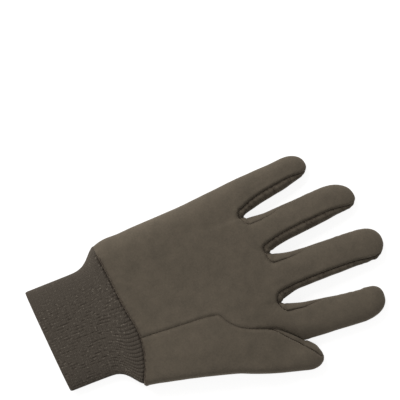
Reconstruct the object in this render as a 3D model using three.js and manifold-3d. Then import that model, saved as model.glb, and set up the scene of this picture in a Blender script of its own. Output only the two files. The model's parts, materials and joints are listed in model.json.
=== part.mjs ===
// Cotton work glove, right hand, lying on its back with the palm up.
// Brushed cotton jersey hand with a ribbed knit wrist, hollow and open at the wrist.
// Millimetres. +Y runs from the wrist to the fingertips, +X to the thumb side, +Z up out of the palm.
// While it is being made, x = 0 is the middle of the knit wrist and y = 0 the level of the wrist seam.
import * as THREE from 'three';
import { mergeVertices } from 'three/addons/utils/BufferGeometryUtils.js';
import Module from 'manifold-3d';

const wasm = await Module();
wasm.setup();

// Driving dimensions of the knit wrist
const CUFF_LENGTH = 54.5;
const CUFF_WIDTH = 80.5;
const CUFF_THICKNESS = 12;
const CUFF_END_SLANT = 5;
const KNIT_WALL = 2;
const RIB_PITCH = 2;
const RIB_DEPTH = 0.5;

// Driving dimensions of the cloth hand
const WRIST_WIDTH = 110;
const WRIST_THICKNESS = 17;
const WRIST_OFFSET = 0.8;
const WRIST_SEAM_RISE = 9;
const PALM_LENGTH = 116;
const PALM_WIDTH = 128;
const PALM_THICKNESS = 21;
const PALM_OFFSET = 3.5;
const WEB_BOW = 24;
const WEB_TILT = 2.3;
const CLOTH_WALL = 1.3;
const SEAM_WRAP = 4.5;
const SEAM_GAP = 0.3;

// Driving dimensions of the thumb
const THUMB_LENGTH = 131;
const THUMB_REACH = 34.3;
const THUMB_THICKNESS = 20.5;

// Fingers: length from the root to the tip, width and thickness at the root, share of the width left
// at the tip, sideways lean of the axis and of the tip alone, and the place of the root across the
// palm (share of its width from the middle) and past the palm's end.
const DIGITS = {
  little: {
    length: 57.5, width: 26.5, thickness: 15, taper: 0.72, lean: -6.5, skew: 1.5, across: -0.404, past: -3.5,
  },
  ring: {
    length: 77, width: 26.5, thickness: 16.5, taper: 0.9, lean: -5, skew: 3.5, across: -0.16, past: 2,
  },
  middle: {
    length: 84.3, width: 29, thickness: 17, taper: 0.83, lean: 2, skew: 1, across: 0.101, past: 2,
  },
  index: {
    length: 71, width: 29.5, thickness: 16, taper: 0.74, lean: 8, skew: -2, across: 0.39, past: 2,
  },
};

// Steps round a cloth section, round the smooth inside of the knit, and along the wrist seam
const CLOTH_STEPS = 18;
const KNIT_STEPS = 40;
const SEAM_STEPS = 14;

// Height of the outline edge above the surface the glove lies on, as a share of the thickness
const EDGE_SHARE = 0.42;
// How far the underside is pressed flat: above 1 the middle of it lies flat
const FLATNESS = 1.45;
// Roundness of the sections: 2 is an ellipse, more is squarer
const PALM_SQUARENESS = 3.4;
const FINGER_SQUARENESS = 2.3;
const THUMB_SQUARENESS = 2.5;
// Least half-height and half-width that the hollow keeps inside a section
const LEAST_HOLLOW = 0.3;
// Points of a mesh that lie closer than this are one point
const WELD_DISTANCE = 1e-4;
// Share of the knit wrist's length over which its end's slant fades out
const SLANT_FADE = 0.6;
// Share of a digit's length past which the hollow is pulled back from the tip
const TIP_SHARE = 0.5;

// Section of the knit wrist, from its end to under the cloth: place along it (share of its length,
// 0 at the end, 1 at the wrist seam), how far width and thickness have opened to the wrist's, and
// the squareness of the section.
const CUFF_ROWS = [
  { along: 0, opened: 0, squareness: 3 },
  { along: 0.3, opened: 0, squareness: 3 },
  { along: 0.66, opened: 0.01, squareness: 3 },
  { along: 0.75, opened: 0.07, squareness: 3 },
  { along: 0.84, opened: 0.27, squareness: 3 },
  { along: 0.92, opened: 0.6, squareness: 3.2 },
  { along: 1.0, opened: 0.93, squareness: 3.4 },
  { along: 1.2, opened: 1, squareness: 3.4 },
];

// Section of the palm, from below the wrist seam to the roots of the fingers: place (share of the
// palm's length), how far its width has spread to the palm's, thickness (share of the palm's), and
// share of the full bow towards the middle fingers.
const PALM_ROWS = [
  { along: -0.06, spread: 0, thick: 0.8, bow: 0 },
  { along: 0.06, spread: 0.08, thick: 0.86, bow: 0 },
  { along: 0.21, spread: 0.23, thick: 0.95, bow: 0 },
  { along: 0.4, spread: 0.38, thick: 1, bow: 0.1 },
  { along: 0.56, spread: 0.52, thick: 0.99, bow: 0.35 },
  { along: 0.69, spread: 0.72, thick: 0.92, bow: 0.7 },
  { along: 0.78, spread: 0.86, thick: 0.84, bow: 0.9 },
  { along: 0.82, spread: 0.92, thick: 0.7, bow: 1 },
  { along: 0.838, spread: 0.92, thick: 0.5, bow: 1 },
];

// Section of a finger, from inside the palm to the tip: place (share of its length), half-widths
// left and right of its axis (shares of its width, before the taper), thickness (share of its
// thickness at the root) and share of the sideways lean of the tip.
const FINGER_ROWS = [
  { along: -0.45, left: 0.49, right: 0.45, thick: 1.02, skew: 0 },
  { along: -0.2, left: 0.5, right: 0.495, thick: 1.04, skew: 0 },
  { along: 0, left: 0.5, right: 0.5, thick: 1, skew: 0 },
  { along: 0.25, left: 0.495, right: 0.5, thick: 0.93, skew: 0 },
  { along: 0.5, left: 0.495, right: 0.5, thick: 0.89, skew: 0 },
  { along: 0.75, left: 0.51, right: 0.51, thick: 0.82, skew: 0 },
  { along: 0.87, left: 0.46, right: 0.47, thick: 0.74, skew: 0.25 },
  { along: 0.95, left: 0.34, right: 0.35, thick: 0.62, skew: 0.75 },
  { along: 0.988, left: 0.18, right: 0.19, thick: 0.5, skew: 1 },
  { along: 1, left: 0.07, right: 0.08, thick: 0.42, skew: 1 },
];

// Section of the thumb piece, each from the palm seam to the folded outer edge. Across: share of
// the thumb's reach, from the hand's edge at the wrist. Up: share of its length. The back seam
// lies at a share of the way from the palm seam to the folded edge.
const THUMB_ROWS = [
  { innerAcross: -0.99, innerUp: -0.05, outerAcross: -0.01, outerUp: -0.05, thick: 0.84, back: 0.5 },
  { innerAcross: -0.985, innerUp: 0.15, outerAcross: 0.12, outerUp: 0.15, thick: 0.98, back: 0.5 },
  { innerAcross: -0.94, innerUp: 0.34, outerAcross: 0.3, outerUp: 0.34, thick: 1.08, back: 0.52 },
  { innerAcross: -0.88, innerUp: 0.52, outerAcross: 0.5, outerUp: 0.52, thick: 1.1, back: 0.6 },
  { innerAcross: -0.46, innerUp: 0.62, outerAcross: 0.69, outerUp: 0.645, thick: 1.02, back: 0.62 },
  { innerAcross: -0.17, innerUp: 0.775, outerAcross: 0.83, outerUp: 0.755, thick: 0.92, back: 0.48 },
  { innerAcross: 0.07, innerUp: 0.865, outerAcross: 0.925, outerUp: 0.83, thick: 0.82, back: 0.28 },
  { innerAcross: 0.33, innerUp: 0.925, outerAcross: 0.985, outerUp: 0.893, thick: 0.72, back: 0.08 },
  { innerAcross: 0.49, innerUp: 0.966, outerAcross: 0.997, outerUp: 0.93, thick: 0.62, back: 0 },
  { innerAcross: 0.63, innerUp: 0.987, outerAcross: 0.957, outerUp: 0.967, thick: 0.52, back: 0 },
  { innerAcross: 0.77, innerUp: 1, outerAcross: 0.9, outerUp: 0.992, thick: 0.4, back: 0 },
];

// Rise of the wrist seam across the hand: 0 at the little finger's edge, 1 at the thumb's
const WRIST_SEAM_ROWS = [
  { across: -0.1, rise: 0.15 },
  { across: 0, rise: 0.22 },
  { across: 0.2, rise: 0.5 },
  { across: 0.45, rise: 0.8 },
  { across: 0.69, rise: 1.15 },
  { across: 0.85, rise: 0.75 },
  { across: 1, rise: 0 },
  { across: 1.1, rise: -0.2 },
];

// The two back strips: where their seams meet the wrist (share of its width from the little
// finger's side) and the fingers beside them
const BACK_SEAMS = {
  ring: { wristLeft: 0.3, wristRight: 0.55, leftNeighbour: 'little', rightNeighbour: 'middle' },
  middle: { wristLeft: 0.55, wristRight: 0.79, leftNeighbour: 'ring', rightNeighbour: 'index' },
};

// How far past the fingers' roots the two seams of a crotch part (share of the finger's length)
const CROTCH_SHARE = 0.1;

// Edge of the back strip's wrap on to the palm side, from the crotch to past the tip: place (share
// of the finger's length), distance from its axis (share of its half-width), share of the full wrap
const WRAP_ROWS = [
  { along: 0.06, reach: 1, wrap: 0 },
  { along: 0.16, reach: 1, wrap: 1 },
  { along: 0.68, reach: 0.9, wrap: 1 },
  { along: 0.93, reach: 0.6, wrap: 0 },
  { along: 1.1, reach: 0.6, wrap: 0 },
];

// Line from the thumb's crotch out between the thumb and the index finger, in the thumb table's terms
const THUMB_GAP_ROWS = [
  { across: 0.374, up: 0.948 },
  { across: 0.418, up: 1.017 },
];

// The outlines that cut the pieces: how far they stand clear of a finger's edge, where they have
// come clear of it past the crotch and run out past its tip (shares of its length), how far two of
// them overlap, and how far the thumb's seam moves up for each step sideways
const STRIP_CLEARANCE = 1.5;
const PAST_CROTCH = 0.2;
const PAST_TIP = 1.1;
const PRISM_OVERLAP = 1;
const SEAM_RISE_SHARE = 0.6;

const lerp = THREE.MathUtils.lerp;

// Sizes that follow from the driving ones
const wristLeft = WRIST_OFFSET - WRIST_WIDTH / 2;
const wristRight = WRIST_OFFSET + WRIST_WIDTH / 2;
const farOut = 2 * (PALM_WIDTH + THUMB_REACH);
const tallest = 2 * PALM_THICKNESS;
const midHollow = EDGE_SHARE * PALM_THICKNESS;

// Signed power, which turns a circle into a squarer closed curve
function signedPower(value, power) {
  return Math.sign(value) * Math.abs(value) ** power;
}

// One flattened section of a cloth tube between two points of its outline, seen from above.
// left and right are Vector2, thickness is at the crown, inset moves the whole section inwards.
function sectionRing({ left, right, thickness, squareness, bow = 0, points, inset = 0, rib = 0 }) {
  const across = right.clone().sub(left);
  const halfWidth = Math.max(across.length() / 2 - inset, LEAST_HOLLOW);
  const middle = left.clone().add(right).multiplyScalar(0.5);
  const sideways = across.normalize();
  const forwards = new THREE.Vector2(-sideways.y, sideways.x);
  const edge = EDGE_SHARE * thickness;
  const top = Math.max(thickness - inset, edge + LEAST_HOLLOW);
  const floor = Math.min(inset, edge - LEAST_HOLLOW);
  const ring = [];
  for (let i = 0; i < points; i += 1) {
    const angle = (2 * Math.PI * i) / points;
    const out = signedPower(Math.cos(angle), 2 / squareness);
    const up = signedPower(Math.sin(angle), 2 / squareness);
    const ribbed = rib * (i % 2 === 0 ? 0 : -1);
    const drop = Math.min(1, FLATNESS * -up);
    const z = up >= 0 ? edge + (top - edge + ribbed) * up : edge - (edge - floor + ribbed) * drop;
    const reach = (halfWidth + ribbed) * out;
    const forwardBow = bow * (1 - out * out);
    ring.push(new THREE.Vector3(
      middle.x + sideways.x * reach + forwards.x * forwardBow,
      middle.y + sideways.y * reach + forwards.y * forwardBow,
      z,
    ));
  }
  return ring;
}

// Closed solid through a list of rings with the same even number of points. Each end is filled by
// upright strips that join a point of the upper side to the one under it, so a bowed end stays bowed.
function loft(rings) {
  const count = rings[0].length;
  const positions = rings.flat().flatMap((p) => [p.x, p.y, p.z]);
  const index = [];
  for (let r = 0; r + 1 < rings.length; r += 1) {
    for (let i = 0; i < count; i += 1) {
      const next = (i + 1) % count;
      const a = r * count + i;
      const b = r * count + next;
      const c = (r + 1) * count + next;
      const d = (r + 1) * count + i;
      index.push(a, c, b, a, d, c);
    }
  }
  for (const [r, flip] of [[0, false], [rings.length - 1, true]]) {
    const triangle = (a, b, c) => {
      const corners = flip ? [c, b, a] : [a, b, c];
      index.push(...corners.map((i) => r * count + i));
    };
    triangle(0, 1, count - 1);
    for (let i = 1; i < count / 2 - 1; i += 1) {
      triangle(i, i + 1, count - i - 1);
      triangle(i, count - i - 1, count - i);
    }
    triangle(count / 2 - 1, count / 2, count / 2 + 1);
  }
  const geometry = new THREE.BufferGeometry();
  geometry.setAttribute('position', new THREE.Float32BufferAttribute(positions, 3));
  geometry.setIndex(index);
  return geometry;
}

// Volume of a closed mesh, negative if its faces point inwards
function signedVolume(positions, index) {
  let volume = 0;
  const [a, b, c] = [new THREE.Vector3(), new THREE.Vector3(), new THREE.Vector3()];
  for (let i = 0; i < index.length; i += 3) {
    a.fromArray(positions, 3 * index[i]);
    b.fromArray(positions, 3 * index[i + 1]);
    c.fromArray(positions, 3 * index[i + 2]);
    volume += a.dot(b.cross(c)) / 6;
  }
  return volume;
}

// three.js geometry to a solid that can be joined and cut, with its faces pointing out
function toSolid(geometry) {
  const bare = geometry.clone();
  bare.deleteAttribute('normal');
  bare.deleteAttribute('uv');
  const merged = mergeVertices(bare, WELD_DISTANCE);
  const vertProperties = new Float32Array(merged.attributes.position.array);
  const triVerts = new Uint32Array(merged.index.array);
  if (signedVolume(vertProperties, triVerts) < 0) {
    for (let i = 0; i < triVerts.length; i += 3) {
      [triVerts[i + 1], triVerts[i + 2]] = [triVerts[i + 2], triVerts[i + 1]];
    }
  }
  return new wasm.Manifold(new wasm.Mesh({ numProp: 3, vertProperties, triVerts }));
}

// A cut or joined solid back to three.js geometry
function toGeometry(solid) {
  const mesh = solid.getMesh();
  const geometry = new THREE.BufferGeometry();
  const positions = new Float32Array((mesh.vertProperties.length / mesh.numProp) * 3);
  for (let i = 0; i < positions.length / 3; i += 1) {
    for (let k = 0; k < 3; k += 1) {
      positions[3 * i + k] = mesh.vertProperties[mesh.numProp * i + k];
    }
  }
  geometry.setAttribute('position', new THREE.BufferAttribute(positions, 3));
  geometry.setIndex(Array.from(mesh.triVerts));
  geometry.computeVertexNormals();
  return geometry;
}

// Upright prism over an outline seen from above, used to cut the pieces along their seams
function prism(outline, zLow, zHigh) {
  const shape = new THREE.Shape(outline.map((p) => new THREE.Vector2(p.x, p.y)));
  const geometry = new THREE.ExtrudeGeometry(shape, { depth: zHigh - zLow, bevelEnabled: false });
  geometry.translate(0, 0, zLow);
  return toSolid(geometry);
}

// The knit wrist's solid, outside with ribs or inside smooth
function cuffSolid(inset) {
  const perimeter = 2 * CUFF_WIDTH;
  const ribs = 2 * Math.round(perimeter / RIB_PITCH / 2);
  const outside = inset === 0;
  const rings = CUFF_ROWS.map(({ along, opened, squareness }) => {
    const half = lerp(CUFF_WIDTH, WRIST_WIDTH - 2 * CLOTH_WALL, opened) / 2;
    const centre = lerp(0, WRIST_OFFSET, opened);
    const y = CUFF_LENGTH * (along - 1);
    const slant = (CUFF_END_SLANT / 2) * Math.max(0, 1 - along / SLANT_FADE);
    const past = outside || along > 0 ? 0 : -KNIT_WALL;
    return sectionRing({
      left: new THREE.Vector2(centre - half, y - slant + past),
      right: new THREE.Vector2(centre + half, y + slant + past),
      thickness: lerp(CUFF_THICKNESS, WRIST_THICKNESS - CLOTH_WALL, opened),
      squareness,
      points: outside ? 2 * ribs : KNIT_STEPS,
      inset,
      rib: outside ? RIB_DEPTH : 0,
    });
  });
  return toSolid(loft(rings));
}

// The palm's and the hand's back's solid between the wrist seam and the roots of the fingers
function palmSolid(inset) {
  const rings = PALM_ROWS.map(({ along, spread, thick, bow }, row) => {
    const half = lerp(WRIST_WIDTH, PALM_WIDTH, spread) / 2;
    const centre = lerp(WRIST_OFFSET, PALM_OFFSET, spread);
    const end = row === PALM_ROWS.length - 1 ? inset : 0;
    const start = row === 0 && inset > 0 ? CLOTH_WALL : 0;
    const y = PALM_LENGTH * along - end - start;
    const tilt = bow * WEB_TILT;
    return sectionRing({
      left: new THREE.Vector2(centre - half, y - tilt),
      right: new THREE.Vector2(centre + half, y + tilt),
      thickness: Math.max(PALM_THICKNESS * thick, row === 0 ? WRIST_THICKNESS : 0),
      squareness: PALM_SQUARENESS,
      bow: bow * WEB_BOW,
      points: 2 * CLOTH_STEPS,
      inset,
    });
  });
  return toSolid(loft(rings));
}

// Axis of a finger: its root and the unit vectors along and across it
function fingerAxis({ length, lean, across, past }) {
  const root = new THREE.Vector2(PALM_OFFSET + across * PALM_WIDTH, PALM_LENGTH + past);
  const along = new THREE.Vector2(lean, length).normalize();
  const sideways = new THREE.Vector2(along.y, -along.x);
  return { root, along, sideways };
}

// Point of a finger seen from above: share along it and distance to the right of its axis
function fingerPoint(digit, share, right) {
  const { root, along, sideways } = fingerAxis(digit);
  return root.clone().addScaledVector(along, share * digit.length).addScaledVector(sideways, right);
}

// One finger's solid
function fingerSolid(digit, inset) {
  const rings = FINGER_ROWS.map(({ along, left, right, thick, skew }) => {
    const share = along * (1 - (along > TIP_SHARE ? inset / digit.length : 0));
    const width = digit.width * lerp(1, digit.taper, Math.max(0, along));
    return sectionRing({
      left: fingerPoint(digit, share, skew * digit.skew - left * width),
      right: fingerPoint(digit, share, skew * digit.skew + right * width),
      thickness: digit.thickness * thick,
      squareness: FINGER_SQUARENESS,
      points: CLOTH_STEPS,
      inset,
    });
  });
  return toSolid(loft(rings));
}

// Points of the thumb's table, seen from above
function thumbPoint(across, up) {
  return new THREE.Vector2(wristRight + across * THUMB_REACH, up * THUMB_LENGTH);
}

// The thumb's solid, from the wrist to its tip
function thumbSolid(inset) {
  const rings = THUMB_ROWS.map((row) => {
    const back = row.back === 0 ? inset : 0;
    const start = row.innerUp < 0 && inset > 0 ? CLOTH_WALL : 0;
    const left = thumbPoint(row.innerAcross, row.innerUp);
    const right = thumbPoint(row.outerAcross, row.outerUp);
    left.y -= back + start;
    right.y -= back + start;
    return sectionRing({
      left,
      right,
      thickness: THUMB_THICKNESS * row.thick,
      squareness: THUMB_SQUARENESS,
      points: CLOTH_STEPS,
      inset,
    });
  });
  return toSolid(loft(rings));
}

// Everything below the wrist seam, seen from above, moved by offset across the seam
function belowWristSeam(offset) {
  const xs = WRIST_SEAM_ROWS.map(({ across }) => lerp(wristLeft, wristRight, across));
  const curve = new THREE.SplineCurve(WRIST_SEAM_ROWS.map(({ rise }, i) => (
    new THREE.Vector2(xs[i], rise * WRIST_SEAM_RISE + offset))));
  const seam = curve.getSpacedPoints(SEAM_STEPS);
  const outline = [
    new THREE.Vector2(farOut, seam.at(-1).y),
    new THREE.Vector2(farOut, -farOut),
    new THREE.Vector2(-farOut, -farOut),
    new THREE.Vector2(-farOut, seam[0].y),
    ...seam,
  ];
  return prism(outline, -tallest, tallest);
}

// The thumb piece's side of its seams: the palm seam above, the back seam below. grow widens it.
function thumbSide(grow) {
  const moved = (point) => new THREE.Vector2(point.x - grow, point.y + grow * SEAM_RISE_SHARE);
  const seamRows = THUMB_ROWS.filter((row) => row.back > 0);
  const palmSeam = seamRows.map((row) => thumbPoint(row.innerAcross, row.innerUp));
  const backSeam = seamRows.map((row, i) => (
    palmSeam[i].clone().lerp(thumbPoint(row.outerAcross, row.outerUp), row.back)));
  const gap = THUMB_GAP_ROWS.map(({ across, up }) => thumbPoint(across, up));
  const around = [new THREE.Vector2(farOut, THUMB_LENGTH * PAST_TIP), new THREE.Vector2(farOut, -farOut)];
  const sides = [[palmSeam, midHollow, tallest], [backSeam, -tallest, midHollow]];
  const [upper, lower] = sides.map(([seam, zLow, zHigh]) => {
    const start = new THREE.Vector2(seam[0].x, -farOut);
    const outline = [...[start, ...seam, ...gap].map(moved), ...around];
    return prism(outline, zLow, zHigh);
  });
  return upper.add(lower);
}

// Middle of the gap between two neighbouring fingers, just past their crotch, seen from above
function crotchBetween(leftName, rightName) {
  const leftDigit = DIGITS[leftName];
  const rightDigit = DIGITS[rightName];
  const a = fingerPoint(leftDigit, CROTCH_SHARE, leftDigit.width / 2);
  const b = fingerPoint(rightDigit, CROTCH_SHARE, -rightDigit.width / 2);
  return a.add(b).multiplyScalar(0.5);
}

// The back strip of a finger, from the wrist to the tip. Its seams run from the wrist to the
// crotches on both sides. On the finger's thumb side the strip wraps over on to the palm side.
function backStrip(name, grow) {
  const digit = DIGITS[name];
  const seams = BACK_SEAMS[name];
  const half = digit.width / 2;
  const edgeHeight = EDGE_SHARE * digit.thickness;
  const seamOutline = (wristShare, crotch, side) => {
    const wristX = lerp(wristLeft, wristRight, wristShare);
    const outline = [
      new THREE.Vector2(wristX, -farOut),
      new THREE.Vector2(wristX, 0),
      crotch,
      fingerPoint(digit, PAST_CROTCH, side * (half + STRIP_CLEARANCE)),
      fingerPoint(digit, PAST_TIP, side * (half + STRIP_CLEARANCE)),
    ];
    outline.forEach((p) => { p.x += side * grow; });
    return outline;
  };
  const left = seamOutline(seams.wristLeft, crotchBetween(seams.leftNeighbour, name), -1);
  const right = seamOutline(seams.wristRight, crotchBetween(name, seams.rightNeighbour), 1);
  const under = prism([...left, ...right.reverse()], -tallest, edgeHeight + grow);
  const wrapEdge = WRAP_ROWS.map(({ along, reach, wrap }) => (
    fingerPoint(digit, along, half * reach - wrap * SEAM_WRAP - grow)));
  const outerEdge = [WRAP_ROWS.at(-1).along, WRAP_ROWS[0].along].map((along) => (
    fingerPoint(digit, along, half + STRIP_CLEARANCE)));
  const over = prism([...wrapEdge, ...outerEdge], edgeHeight - PRISM_OVERLAP, tallest);
  return under.add(over);
}

// The whole hand, outside minus inside
function handSolid(inset) {
  const parts = [
    palmSolid(inset),
    thumbSolid(inset),
    ...Object.values(DIGITS).map((digit) => fingerSolid(digit, inset)),
  ];
  return parts.reduce((whole, part) => whole.add(part));
}

const hand = handSolid(0).subtract(handSolid(CLOTH_WALL)).subtract(belowWristSeam(SEAM_GAP / 2));
const cuff = cuffSolid(0).subtract(cuffSolid(KNIT_WALL)).intersect(belowWristSeam(-SEAM_GAP / 2));

const halfGap = SEAM_GAP / 2;
const thumb = hand.intersect(thumbSide(-halfGap));
const withoutThumb = hand.subtract(thumbSide(halfGap));
const ringStrip = withoutThumb.intersect(backStrip('ring', -halfGap));
const middleStrip = withoutThumb.intersect(backStrip('middle', -halfGap));
const palm = withoutThumb.subtract(backStrip('ring', halfGap)).subtract(backStrip('middle', halfGap));

const cloth = new THREE.MeshStandardMaterial({ color: 0x5a5146, roughness: 0.95, metalness: 0 });
const clothBack = new THREE.MeshStandardMaterial({ color: 0x574e43, roughness: 0.95, metalness: 0 });
const knit = new THREE.MeshStandardMaterial({ color: 0x4a443c, roughness: 0.95, metalness: 0 });

const glove = new THREE.Group();
const pieces = [
  ['palm_panel', palm, cloth],
  ['back_ring', ringStrip, clothBack],
  ['back_middle', middleStrip, clothBack],
  ['thumb', thumb, cloth],
  ['knit_wrist', cuff, knit],
];
for (const [name, solid, material] of pieces) {
  const mesh = new THREE.Mesh(toGeometry(solid), material);
  mesh.name = name;
  glove.add(mesh);
}
glove.updateMatrixWorld(true);
const box = new THREE.Box3().setFromObject(glove);
glove.position.set(-(box.min.x + box.max.x) / 2, -(box.min.y + box.max.y) / 2, -box.min.z);

export default glove;
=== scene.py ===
"""Right-hand cotton work glove: brushed jersey hand, ribbed knit wrist, lying palm up.

Lengths in the tables are millimetres in the glove's making frame, where x = 0 is the middle of the
knit wrist, y = 0 the level of the wrist seam, +Y the fingertips, +X the thumb side and +Z the palm.
"""

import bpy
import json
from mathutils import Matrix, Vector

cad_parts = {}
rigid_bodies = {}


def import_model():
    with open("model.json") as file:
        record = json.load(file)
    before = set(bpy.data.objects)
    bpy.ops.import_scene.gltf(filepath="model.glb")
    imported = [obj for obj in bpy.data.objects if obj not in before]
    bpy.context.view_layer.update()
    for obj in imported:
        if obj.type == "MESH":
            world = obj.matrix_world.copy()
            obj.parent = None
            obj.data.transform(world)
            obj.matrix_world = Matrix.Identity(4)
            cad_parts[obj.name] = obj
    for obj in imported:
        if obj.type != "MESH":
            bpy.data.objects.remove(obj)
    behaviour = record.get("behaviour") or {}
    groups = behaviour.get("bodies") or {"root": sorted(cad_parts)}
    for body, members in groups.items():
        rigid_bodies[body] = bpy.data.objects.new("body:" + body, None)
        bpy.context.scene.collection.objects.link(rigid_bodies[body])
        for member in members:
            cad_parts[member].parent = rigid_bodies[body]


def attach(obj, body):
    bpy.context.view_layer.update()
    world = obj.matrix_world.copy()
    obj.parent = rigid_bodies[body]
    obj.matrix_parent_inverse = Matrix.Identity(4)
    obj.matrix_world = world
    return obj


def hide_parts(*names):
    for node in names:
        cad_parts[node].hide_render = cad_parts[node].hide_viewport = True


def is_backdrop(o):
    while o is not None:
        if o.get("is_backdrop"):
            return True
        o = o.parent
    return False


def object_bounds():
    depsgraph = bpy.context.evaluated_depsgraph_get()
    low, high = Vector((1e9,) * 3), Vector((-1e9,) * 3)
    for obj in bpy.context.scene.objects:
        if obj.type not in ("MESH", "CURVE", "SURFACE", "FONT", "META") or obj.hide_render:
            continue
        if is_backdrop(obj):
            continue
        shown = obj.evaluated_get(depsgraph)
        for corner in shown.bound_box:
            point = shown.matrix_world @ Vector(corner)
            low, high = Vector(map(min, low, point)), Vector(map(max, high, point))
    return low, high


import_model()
cad_low, cad_high = (list(corner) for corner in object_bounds())

import json
import math

import bpy
import numpy as np
from bpy.props import FloatProperty, FloatVectorProperty, PointerProperty
from bpy.types import Operator, Panel, PropertyGroup
from mathutils import Matrix, Vector, kdtree, noise

bl_info = {
    "name": "Cotton work glove",
    "version": (1, 0, 0),
    "blender": (4, 5, 0),
    "location": "3D View > Sidebar > Glove",
    "description": "Sews a brushed cotton jersey work glove with a knit wrist",
    "category": "Object",
}

MM = 0.001

# How far the outline stands out from the making frame's origin, on the little finger's side and
# below the wrist seam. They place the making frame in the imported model's box.
LITTLE_SIDE = 63.65
BELOW_SEAM = 57.0

# The hand, as cut and sewn
WRIST_LEFT = -53.1
WRIST_RIGHT = 55.8
SEAM_RISE = 9.0
EDGE_SHARE = 0.42
FLATNESS = 1.45
EDGE_ROUNDING = {"little": 15.0, "thumb": 5.5}
CREASE_ROUNDING = (17.0, 10.0)

# The knit wrist
CUFF_WIDTH = 80.5
CUFF_LENGTH = 54.5
CUFF_THICKNESS = 12.0
CUFF_END_SLANT = 5.0
CUFF_OPEN_WIDTH = 110.2
CUFF_OPEN_THICKNESS = 16.3

# Mesh density: rows up the palm, columns over and under each finger, columns of a seam's wrap
PALM_STEPS = 104
WRAP_COLUMNS = 6
FRONT_COLUMNS = 18
TOP_COLUMNS = 2 * WRAP_COLUMNS + FRONT_COLUMNS
BOTTOM_COLUMNS = 22
BACK_EDGE_COLUMNS = 5
WEB_ROWS = 6
STRIPS = ("little", "ring", "middle", "index", "thumb")
THUMB = 4
FINGER_STEPS = {"little": 62, "ring": 78, "middle": 84, "index": 74, "thumb": 34}

# Fingers: length, width at the root, share of it left at the tip, thickness at the root, lean of
# the axis, lean of the tip alone, the root's place, and how many half-widths down the finger the
# rounding of its tip reaches on the little finger's side and on the thumb's side
DIGITS = {
    "little": dict(
        length=57.5, width=26.5, taper=0.70, thick=15.0, lean=-6.5, skew=1.5,
        root=(-48.2, 112.5), tip_reach=(1.12, 2.4),
    ),
    "ring": dict(
        length=77, width=26.0, taper=0.88, thick=16.5, lean=-5.0, skew=3.5,
        root=(-17.0, 118), tip_reach=(1.12, 2.9),
    ),
    "middle": dict(
        length=84.3, width=28.5, taper=0.84, thick=17.0, lean=2.5, skew=1.0,
        root=(16.5, 118), tip_reach=(1.12, 1.4),
    ),
    "index": dict(
        length=71, width=29.0, taper=0.73, thick=16.0, lean=8.3, skew=-2.5,
        root=(53.4, 118), tip_reach=(1.12, 1.2),
    ),
}

# Half-width of a finger along its length, as a share of its width, and its thickness
FINGER_HALF_WIDTH = ((-0.3, 0.5), (0, 0.5), (0.25, 0.495), (0.5, 0.495), (0.75, 0.505), (1, 0.51))
FINGER_THICKNESS = ((-0.3, 1), (0, 1), (0.25, 0.93), (0.5, 0.89), (0.75, 0.82), (1, 0.7))

# Where neighbouring fingers part
CROTCHES = ((-33.0, 113.8), (-1.6, 122.4), (35.5, 117.3), (67.65, 122))

# Outline of the hand from the wrist to the fingers' roots: share of the way, x, y
LITTLE_EDGE = (
    (0, -53.1, 2), (0.025, -54.3, 5), (0.2, -55.6, 24), (0.45, -56.7, 50), (0.7, -57.8, 76),
    (0.87, -59.3, 95), (1, -60.8, 109.5),
)
THUMB_EDGE = (
    (0, 55.8, 0), (0.1, 58.2, 11), (0.2, 61, 23.5), (0.3, 63.9, 35.5), (0.4, 67, 47.5),
    (0.5, 70.3, 59.5), (0.57, 72.9, 68), (0.66, 76.8, 78), (0.75, 80.7, 88.5), (0.86, 84.5, 99.5),
    (0.93, 87.0, 108), (1, 89.4, 116.5),
)
# Seam of the thumb piece on the palm, and its seam on the back
THUMB_SEAM = (
    (0, 21.75, 10.4), (0.1, 22.1, 20.5), (0.22, 22.9, 33), (0.38, 24, 50), (0.5, 25.2, 63.5),
    (0.57, 27.3, 70.6), (0.62, 32.8, 73.8), (0.68, 39.6, 79.8), (0.74, 44.4, 88), (0.8, 48.3, 97.5),
    (0.86, 52, 106), (0.92, 58.8, 114), (1, 67.65, 122),
)
BACK_THUMB_SEAM = ((0, 45, 5), (0.5, 52.5, 60), (0.82, 59, 102), (1, 67.65, 122))
# Tip of the thumb past its crotch: share of the way, then inner x, y and outer x, y
THUMB_TIP = (
    (0, 67.65, 122, 89.4, 116.5), (0.3, 70.9, 126.2, 90.05, 120.5),
    (0.55, 74.3, 128.8, 89.7, 124.6), (0.75, 77.8, 130.0, 88.4, 127.6),
    (0.9, 81.0, 130.8, 86.4, 129.8), (1, 83.8, 131.0, 83.8, 131.0),
)
# Thickness of the thumb at its crotch and at its tip
THUMB_THICKNESS = (15.0, 11.0)

# Seams of the hand across the wrist, on the palm and on the back
PALM_WRIST_X = (WRIST_LEFT, -36.0, -17.0, 2.0, 21.75, WRIST_RIGHT)
BACK_WRIST_X = (WRIST_LEFT, -21.2, 6.3, 32.7, 45.0, WRIST_RIGHT)
# Rise of the wrist seam, as a share of SEAM_RISE, across the wrist from the little finger's side
WRIST_SEAM = (
    (-0.1, 0.15), (0, 0.22), (0.2, 0.5), (0.45, 0.8), (0.69, 1.15), (0.85, 0.75), (1, 0),
    (1.1, -0.2),
)
# Thickness of the hand from the wrist to the fingers' roots
PALM_THICKNESS = (
    (0, 17.4), (0.06, 18.2), (0.21, 20), (0.4, 21), (0.56, 20.8), (0.7, 19.8), (0.85, 17.9),
    (1, 16.2),
)

# How far the cloth of the back wraps over each finger's edges on to the palm side, at most: on the
# little finger's side and on the thumb's side
WRAPS = {
    "little": (4.5, 6.0),
    "ring": (3.2, 6.3),
    "middle": (3.3, 4.6),
    "index": (3.6, 4.5),
    "thumb": (5.4, 4.5),
}
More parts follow.
